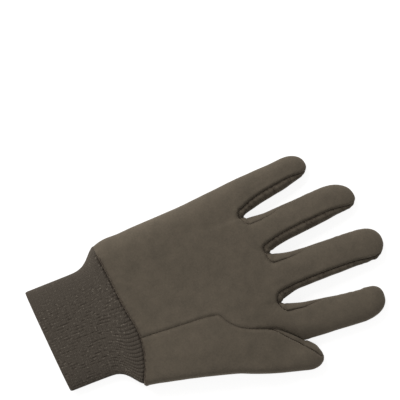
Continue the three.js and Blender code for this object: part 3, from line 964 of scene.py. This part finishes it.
def cut_piece(hand, name, tags, material, sizes):
    """One piece of cloth of the hand, with its edges a little apart from its neighbours'."""
    folds = hand.fold_numbers()
    layer_of = {tag: k for k, tag in enumerate(tags)}
    index = {}
    points = []
    shade = []
    faces = []
    for corners, tag in zip(hand.faces.tolist(), hand.tags):
        if tag not in layer_of:
            continue
        face = []
        for n in corners:
            layer = 0 if n in folds else layer_of[tag]
            key = (layer, n)
            if key not in index:
                index[key] = len(points)
                points.append(hand.points[n])
                shade.append(hand.shade[n])
            face.append(index[key])
        faces.append(face)
    faces = np.array(faces)
    points = draw_back_edges(np.array(points), faces, SEAM_GAP)
    piece = new_piece(name + "_cloth", points, faces, name, material)
    store(piece, "seam_shade", shade)
    apply_modifier(piece, "SOLIDIFY", thickness=sizes.cloth_wall, offset=-1, use_even_offset=False)
    rest_on_floor(piece)
    return piece


def draw_back_edges(points, faces, gap):
    """Moves the open edges of a sheet towards its inside."""
    edges, shared_by = sides(faces)
    border = np.zeros(len(points), bool)
    border[edges[shared_by == 1].ravel()] = True
    total = np.zeros_like(points)
    count = np.zeros(len(points))
    for a, b in ((0, 1), (1, 0)):
        inside = ~border[edges[:, b]]
        np.add.at(total, edges[inside, a], points[edges[inside, b]])
        np.add.at(count, edges[inside, a], 1)
    move = border & (count > 0)
    points[move] += gap * unit(total[move] / count[move][:, None] - points[move])
    return points


PIECES = {
    "palm_panel": ("front", "back_little", "back_index"),
    "back_ring": ("back_ring",),
    "back_middle": ("back_middle",),
    "thumb": ("thumb_front", "back_thumb"),
}

# Height of one knitted loop, and how the light and dark loops are drawn out along a rib: width of a
# rib and share of its length that the pattern of loops goes by
LOOP_HEIGHT = 1.3
RIB_GRAIN = 2.0
LOOP_STRETCH = 0.42

# The knit wrist from its end to under the cloth: level, and how far it has opened to the hand's
# width
CUFF_OPENING = (
    (-56, 0), (-38, 0), (-18.5, 0.01), (-13.6, 0.07), (-8.7, 0.27), (-4.4, 0.6), (0, 0.93),
    (3, 1), (12, 1),
)
# Its cross-section is an oblong with rounded ends: 2 would be an ellipse
CUFF_SQUARENESS = 3.2
# How far the cross-section moves towards the thumb as it opens
CUFF_SHIFT = 0.8
# How far the knit runs on under the cloth
UNDER_HEM = 2.2
# Mesh density: columns for each rib, rows, and cross-sections and points round them to read from
RIB_COLUMNS = 6
CUFF_ROWS = 64
SECTIONS = 160
SECTION_POINTS = 720
# Cross-sections over which the opening is averaged
OPENING_BLUR = 13
# How far the knit is drawn in under the cloth, and at its open end
TUCK_DEPTH = 0.6
LIP_DEPTH = 0.5


def cuff_section(opened):
    """Outline of the knit wrist seen along it, from the thumb's edge round over the palm side."""
    half = blend(CUFF_WIDTH, CUFF_OPEN_WIDTH, opened) / 2
    thick = blend(CUFF_THICKNESS, CUFF_OPEN_THICKNESS, opened)
    angle = np.linspace(0, 2 * math.pi, SECTION_POINTS + 1)
    out, up = (np.sign(wave) * np.abs(wave) ** (2 / CUFF_SQUARENESS)
               for wave in (np.cos(angle), np.sin(angle)))
    edge = EDGE_SHARE * thick
    x = CUFF_SHIFT * opened + half * out
    like_cloth = (rounding(x - x.min(), EDGE_ROUNDING["little"])
                  * rounding(x.max() - x, EDGE_ROUNDING["thumb"]))
    over = edge + (thick - edge) * blend(up, like_cloth, opened)
    return x, np.where(up >= 0, over, edge * (1 - np.minimum(1, -FLATNESS * up)))


def knit_points(sizes):
    """Rows and columns of the knit wrist, and how many ribs each column has come round it."""
    ribs = round(2 * CUFF_WIDTH / (sizes.rib_pitch / MM))
    columns = RIB_COLUMNS * ribs
    levels = np.linspace(-CUFF_LENGTH - CUFF_END_SLANT, 14, SECTIONS)
    opened = np.pad(np.interp(levels, *table(CUFF_OPENING)), OPENING_BLUR // 2, mode="edge")
    opened = np.convolve(opened, np.ones(OPENING_BLUR) / OPENING_BLUR, mode="valid")
    share = np.arange(columns) / columns
    sections = np.zeros((SECTIONS, columns, 2))
    for n, value in enumerate(opened):
        outline = cuff_section(value)
        way = np.concatenate([[0], np.cumsum(np.hypot(*np.diff(outline)))])
        for axis in (0, 1):
            sections[n, :, axis] = np.interp(share * way[-1], way, outline[axis])

    def section_at(y):
        """Place across and height of each column where it is at level y."""
        f = (y - levels[0]) / (levels[-1] - levels[0]) * (SECTIONS - 1)
        k = np.clip(f.astype(int), 0, SECTIONS - 2)
        column = np.arange(columns)
        return blend(sections[k, column], sections[k + 1, column], (f - k)[:, None])

    # The seam's level depends on x, and x on the level, so the top is found in a few rounds
    top = np.full(columns, 5.0)
    for _ in range(6):
        top = wrist_seam_y(section_at(top)[:, 0]) + UNDER_HEM
    end_x = section_at(np.full(columns, -CUFF_LENGTH))[:, 0]
    end = CUFF_END_SLANT * end_x / CUFF_WIDTH - CUFF_LENGTH
    points = np.zeros((CUFF_ROWS + 1, columns, 3))
    for row, way in enumerate(np.linspace(0, 1, CUFF_ROWS + 1)):
        y = blend(end, top, way)
        points[row, :, 0], points[row, :, 2] = section_at(y).T
        points[row, :, 1] = y
    return points, np.arange(columns) / RIB_COLUMNS


def rib_contrast(points):
    """How clearly the ribs show: pulled open at the seam, most on the thumb's side, then closed."""
    # This sets the ribs' height, and the painted light and shade of their loops, pits and valleys
    x, y = points[:, 0], points[:, 1]
    below = wrist_seam_y(x) - y
    thumb_side = step(-6, 24, x)
    # Beside the seam, in tongues of uneven length
    reach = blend(1.6, 5.5, thumb_side) * (1 + lumps(points, OPEN_TONGUES))
    beside = 0.95 * bell(np.maximum(below, 0), reach) * step(2, 9, x - WRIST_LEFT)
    # Where it fans out on the thumb's side
    fan = 0.8 * (1 - step(6, 22, below)) * thumb_side
    # Patches that wear has opened
    patches = step(-0.2, 0.45, lumps(points * np.array([1, 0.5, 1]), WORN_PATCHES))
    worn = 0.85 * patches * blend(0.15, 1, step(-34, -8, x)) * blend(0.6, 1, step(70, 20, below))
    return np.clip(np.maximum(np.maximum(beside, fan), worn), 0.03, 1)


def hem_shade(points):
    """Painted shade on the knit where it goes under the cloth's hem, in uneven teeth."""
    below = wrist_seam_y(points[:, 0]) - points[:, 1]
    teeth = np.clip(1.7 + lumps(points, KNIT_TEETH), 0.9, 3.5)
    return 0.95 * (1 - step(0.2, teeth, below)) * step(*HEM_SHOWS, points[:, 0] - WRIST_LEFT)


def build_knit_wrist(sizes, material):
    """The ribbed tube: sections along it, ribs raised from them, then its wall."""
    points, ribs_round = knit_points(sizes)
    rows, columns = points.shape[:2]
    index = np.arange(rows * columns).reshape(rows, columns)
    after = np.roll(index, -1, 1)
    faces = np.stack([index[:-1], index[1:], after[1:], after[:-1]], 2).reshape(-1, 4)
    flat = points.reshape(-1, 3)
    normals = vertex_normals(flat, faces)
    crown = (0.5 + 0.5 * np.cos(2 * math.pi * ribs_round)) ** 0.4
    way = np.repeat(np.linspace(0, 1, rows), columns)
    show = rib_contrast(flat)
    ribs = np.tile(crown - 1, rows) * sizes.rib_depth / MM * (0.04 + 0.95 * show)
    soft = lumps(flat, KNIT_LUMPS) * step(0.4, 3, flat[:, 2])
    tuck = TUCK_DEPTH * step(0.95, 0.985, way)
    lip = LIP_DEPTH * (1 - step(0, 0.02, way))
    flat = flat + normals * (ribs + soft - tuck - lip)[:, None]
    flat[:, 2] = np.maximum(flat[:, 2], CLEARANCE)
    piece = new_piece("knit_wrist_ribbed", flat, faces, "knit_wrist", material)
    store(piece, "rib_contrast", show)
    store(piece, "seam_shade", hem_shade(flat))

    # A map that counts ribs round the wrist, on past its first column, and millimetres along it
    corner = np.array([loop.vertex_index for loop in piece.data.loops]).reshape(-1, 4)
    column = corner % columns
    closes = (column == 0) & (column > columns / 2).any(1, keepdims=True)
    uv = np.stack([ribs_round[column] + closes * columns / RIB_COLUMNS, flat[corner, 1]], 2)
    piece.data.uv_layers.new(name="UVMap").data.foreach_set("uv", uv.ravel())
    apply_modifier(piece, "SOLIDIFY", thickness=sizes.knit_wall, offset=-1, use_even_offset=False)
    return piece


# The colour sockets of a Mix node are found by number, because its names repeat for each type
FIRST, SECOND, MIXED = 6, 7, 2


def add_node(tree, kind, *values, links=(), output=0, **settings):
    """One output of a new shader node with its settings and its links.

    values fill the node's first inputs in order, and links others by name or number. Each is a
    plain value or the output that feeds the input.
    """
    node = tree.nodes.new("ShaderNode" + kind)
    for key, value in settings.items():
        setattr(node, key, value)
    for name, value in (*enumerate(values), *links):
        if isinstance(value, bpy.types.NodeSocket):
            tree.links.new(value, node.inputs[name])
        else:
            node.inputs[name].default_value = value
    return node.outputs[output]


def new_material(name):
    """An empty node material and its shader."""
    material = bpy.data.materials.new(name)
    material.use_nodes = True
    tree = material.node_tree
    return material, tree, tree.nodes["Principled BSDF"]


def finish_cotton(tree, shader, base, layers, relief, sheen):
    """Matt cotton with a pale bloom where the fibres stand up at grazing angles.

    layers: how much a colour covers what lies under it, and that colour, from below upwards.
    """
    colour = (*base, 1)
    for cover, over in layers:
        colour = add_node(tree, "Mix", cover, links=[(FIRST, colour), (SECOND, (*over, 1))],
                          output=MIXED, data_type="RGBA")
    tree.links.new(colour, shader.inputs["Base Color"])
    tree.links.new(relief, shader.inputs["Normal"])
    shader.inputs["Roughness"].default_value = 0.95
    shader.inputs["Specular IOR Level"].default_value = 0.2
    shader.inputs["Sheen Weight"].default_value = sheen
    shader.inputs["Sheen Roughness"].default_value = 0.5
    shader.inputs["Sheen Tint"].default_value = (*linear("#b9aa96"), 1)


# Grain of the finishes, in millimetres: tufts and clouds of the jersey's nap, fuzz and loops of the
# knit. Real fibres and loops are finer. They are drawn as coarse as they need to be to show. Then
# the depths that the nap and the loops stand out by.
TUFT_SIZE = 1.3
CLOUD_SIZE = 9
FUZZ_SIZE = 1.5
LOOP_SIZE = 0.9
NAP_DEPTH = 0.4
LOOP_DEPTH = 0.25
# How far the loops lean from one rib to the next, in radians of their own wave
LOOP_LEAN = 1.2


def brushed_jersey(colours):
    """Brushed cotton jersey: a short, matt, cloudy nap, with painted shade along the seams and
    wraps.
    """
    material, tree, shader = new_material("brushed_cotton_jersey")
    place = add_node(tree, "TexCoord", output="Object")
    tufts = add_node(tree, "TexNoise", place, links=[
        ("Scale", 1 / (TUFT_SIZE * MM)), ("Detail", 4), ("Roughness", 0.7)])
    clouds = add_node(tree, "TexNoise", place, links=[
        ("Scale", 1 / (CLOUD_SIZE * MM)), ("Detail", 3), ("Roughness", 0.7)])
    nap = add_node(tree, "Math", clouds, tufts, operation="ADD")
    nap = add_node(tree, "MapRange", nap, 0.6, 1.4)
    # Painted shade along the seams, over the wrapped edges and at the wrist seam, broken up by the
    # tufts
    painted_shade = add_node(tree, "Attribute", output="Fac", attribute_name="seam_shade")
    broken = add_node(tree, "MapRange", tufts, 0.4, 0.6, 1.5, 0.5)
    painted_shade = add_node(tree, "Math", painted_shade, broken, operation="MULTIPLY")
    relief = add_node(tree, "Bump", links=[
        ("Height", tufts), ("Strength", 0.4), ("Distance", NAP_DEPTH * MM)])
    layers = ((nap, colours.nap), (painted_shade, colours.seam))
    finish_cotton(tree, shader, colours.cloth, layers, relief, 0.3)
    return material


def rib_knit(colours):
    """Cotton rib knit: small loops that catch the light as specks, painted shade between ribs."""
    material, tree, shader = new_material("cotton_rib_knit")
    # The map counts ribs round the wrist and millimetres along it
    uv = add_node(tree, "UVMap", output="UV", uv_map="UVMap")
    ribs, along = (add_node(tree, "SeparateXYZ", uv, output=axis) for axis in "XY")
    crown = add_node(tree, "Math", ribs, 2 * math.pi, operation="MULTIPLY")
    crown = add_node(tree, "Math", crown, operation="COSINE")
    loops = add_node(tree, "Math", along, 2 * math.pi / LOOP_HEIGHT, operation="MULTIPLY")
    lean = add_node(tree, "Math", crown, LOOP_LEAN, operation="MULTIPLY")
    wave = add_node(tree, "Math", loops, lean, operation="ADD")
    wave = add_node(tree, "Math", wave, operation="SINE")
    place = add_node(tree, "TexCoord", output="Object")
    fuzz = add_node(tree, "TexNoise", place, links=[
        ("Scale", 1 / (FUZZ_SIZE * MM)), ("Detail", 3), ("Roughness", 0.7)])
    stretch = (RIB_GRAIN * MM, LOOP_STRETCH * MM, 0)
    stretched = add_node(tree, "VectorMath", uv, stretch, operation="MULTIPLY")
    grains = add_node(tree, "TexNoise", stretched, links=[
        ("Scale", 1 / (LOOP_SIZE * MM)), ("Detail", 2), ("Roughness", 0.8)])
    # Where the knit is pulled a little open, its loops' painted light and its pits' painted shade
    # show. Pulled further, at the seam, the ribs alone show.
    show = add_node(tree, "Attribute", output="Fac", attribute_name="rib_contrast")
    opened = add_node(tree, "MapRange", show, 0.03, 0.3, 0.2, 1)
    ribbed = add_node(tree, "MapRange", show, 0.4, 0.7, 1, 0.15)
    opened = add_node(tree, "Math", opened, ribbed, operation="MULTIPLY")
    light = add_node(tree, "MapRange", grains, 0.56, 0.66)
    light = add_node(tree, "Math", light, opened, operation="MULTIPLY")
    # Painted shade in the pits between loops, and in the valleys between ribs with a fuzzy edge
    pits = add_node(tree, "MapRange", grains, 0.46, 0.34, 0, 0.8)
    pits = add_node(tree, "Math", pits, opened, operation="MULTIPLY")
    valley = add_node(tree, "MapRange", crown, -0.55, -0.95)
    valley = add_node(tree, "Math", valley, show, operation="MULTIPLY")
    broken = add_node(tree, "MapRange", fuzz, 0.36, 0.64, 0.8, 1.2)
    valley = add_node(tree, "Math", valley, broken, operation="MULTIPLY")
    dark = add_node(tree, "Math", pits, valley, operation="MAXIMUM")
    # Painted shade where the knit goes under the cloth's hem
    hem = add_node(tree, "Attribute", output="Fac", attribute_name="seam_shade")
    hem = add_node(tree, "Math", hem, broken, operation="MULTIPLY")
    relief = add_node(tree, "Math", wave, fuzz, operation="ADD")
    relief = add_node(tree, "Bump", links=[
        ("Height", relief), ("Strength", 0.6), ("Distance", LOOP_DEPTH * MM)])
    layers = ((light, colours.loop), (dark, colours.valley), (hem, colours.valley))
    finish_cotton(tree, shader, colours.knit, layers, relief, 0.2)
    return material


class GLOVE_OT_cloth_hand(Operator):
    """Cuts the palm, the two back strips and the thumb from one shaped cloth hand"""
    bl_idname = "glove.cloth_hand"
    bl_label = "Sew cloth hand"

    def execute(self, context):
        sizes = context.scene.glove_sizes
        material = brushed_jersey(context.scene.glove_colours)
        hand = ClothHand()
        shape_cloth(hand, sizes)
        for name, tags in PIECES.items():
            cut_piece(hand, name, tags, material, sizes)
        return {"FINISHED"}


class GLOVE_OT_knit_wrist(Operator):
    """Knits the ribbed wrist"""
    bl_idname = "glove.knit_wrist"
    bl_label = "Knit wrist"

    def execute(self, context):
        build_knit_wrist(context.scene.glove_sizes, rib_knit(context.scene.glove_colours))
        return {"FINISHED"}


# The camera looks straight down. The middle of its picture, in the making frame, the width of the
# field there, and the turn of the glove in the picture.
VIEW_CENTRE = (-56.5, 87.8)
VIEW_FIELD = 296.0
VIEW_TURN = 21.4
VIEW_HEIGHT = 1300.0
SENSOR = 36.0
# Soft studio light: an even surrounding, and a large soft light low at the picture's upper left.
# Its direction is given to the right and up in the picture.
WORLD_STRENGTH = 0.58
KEY_DISTANCE = 1.4
KEY_DIRECTION = (-0.6, 0.8)
KEY_ELEVATION = math.radians(38)
KEY_SIZE = 0.7
KEY_POWER = 21.0
# A light table: how much of the floor's white comes from the floor itself, its size, and how far
# it lies under the glove, in metres
FLOOR_GLOW = 0.85
FLOOR_SIZE = 8
FLOOR_DROP = 0.1 * MM


def area_light(name, place, aim, size, power):
    """A soft square light at a place, turned to what it lights."""
    bpy.ops.object.select_all(action="DESELECT")
    bpy.ops.object.light_add(type="AREA", location=place)
    light = bpy.context.object
    light.name = name
    light.data.size = size
    light.data.energy = power
    light.rotation_euler = (Vector(aim) - Vector(place)).to_track_quat("-Z", "Y").to_euler()
    return light


class GLOVE_OT_stage(Operator):
    """Lays the pale floor and sets the camera and the soft studio light"""
    bl_idname = "glove.stage"
    bl_label = "Set stage"

    def execute(self, context):
        bpy.ops.object.select_all(action="DESELECT")
        low = (0, 0, cad_low[2] - FLOOR_DROP)
        bpy.ops.mesh.primitive_plane_add(size=FLOOR_SIZE, location=low)
        floor = context.object
        floor.name = "floor"
        material, _, shader = new_material("matt_white_paper")
        shader.inputs["Base Color"].default_value = (*linear("#8a8988"), 1)
        shader.inputs["Roughness"].default_value = 0.9
        shader.inputs["Emission Color"].default_value = (1, 1, 1, 1)
        shader.inputs["Emission Strength"].default_value = FLOOR_GLOW
        floor.data.materials.append(material)
        floor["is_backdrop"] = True

        centre = to_place(np.array([*VIEW_CENTRE, 0.0]))
        turn = math.radians(VIEW_TURN)
        right = Vector((math.sin(turn), math.cos(turn), 0))
        up = Vector((-math.cos(turn), math.sin(turn), 0))
        bpy.ops.object.camera_add()
        camera = context.object
        camera.name = "camera"
        camera.data.sensor_width = SENSOR
        camera.data.lens = SENSOR * VIEW_HEIGHT / VIEW_FIELD
        axes = Matrix((right, up, Vector((0, 0, 1)))).transposed().to_4x4()
        camera.matrix_world = Matrix.Translation((centre[0], centre[1], VIEW_HEIGHT * MM)) @ axes
        context.scene.camera = camera

        world = bpy.data.worlds.new("studio")
        context.scene.world = world
        world.use_nodes = True
        background = world.node_tree.nodes["Background"]
        background.inputs["Color"].default_value = (1, 1, 1, 1)
        background.inputs["Strength"].default_value = WORLD_STRENGTH
        away = right * KEY_DIRECTION[0] + up * KEY_DIRECTION[1]
        place = away * KEY_DISTANCE * math.cos(KEY_ELEVATION)
        place.z = KEY_DISTANCE * math.sin(KEY_ELEVATION)
        area_light("key_light", place, (0, 0, 0), KEY_SIZE, KEY_POWER)
        context.scene.view_settings.view_transform = "Standard"
        return {"FINISHED"}


OPERATORS = (GLOVE_OT_stage, GLOVE_OT_cloth_hand, GLOVE_OT_knit_wrist)


class GLOVE_PT_sidebar(Panel):
    """Lists the glove's steps in the sidebar"""
    bl_idname = "GLOVE_PT_sidebar"
    bl_label = "Cotton work glove"
    bl_space_type = "VIEW_3D"
    bl_region_type = "UI"
    bl_category = "Glove"

    def draw(self, context):
        for group in (context.scene.glove_sizes, context.scene.glove_colours):
            for name in group.__annotations__:
                self.layout.prop(group, name)
        for operator in OPERATORS:
            self.layout.operator(operator.bl_idname)


CLASSES = (GloveSizes, GloveColours, *OPERATORS, GLOVE_PT_sidebar)


def register():
    for cls in CLASSES:
        bpy.utils.register_class(cls)
    bpy.types.Scene.glove_sizes = PointerProperty(type=GloveSizes)
    bpy.types.Scene.glove_colours = PointerProperty(type=GloveColours)


def unregister():
    del bpy.types.Scene.glove_colours
    del bpy.types.Scene.glove_sizes
    for cls in reversed(CLASSES):
        bpy.utils.unregister_class(cls)


def main():
    register()
    bpy.ops.glove.stage()
    bpy.ops.glove.cloth_hand()
    bpy.ops.glove.knit_wrist()


if __name__ == "__main__":
    main()
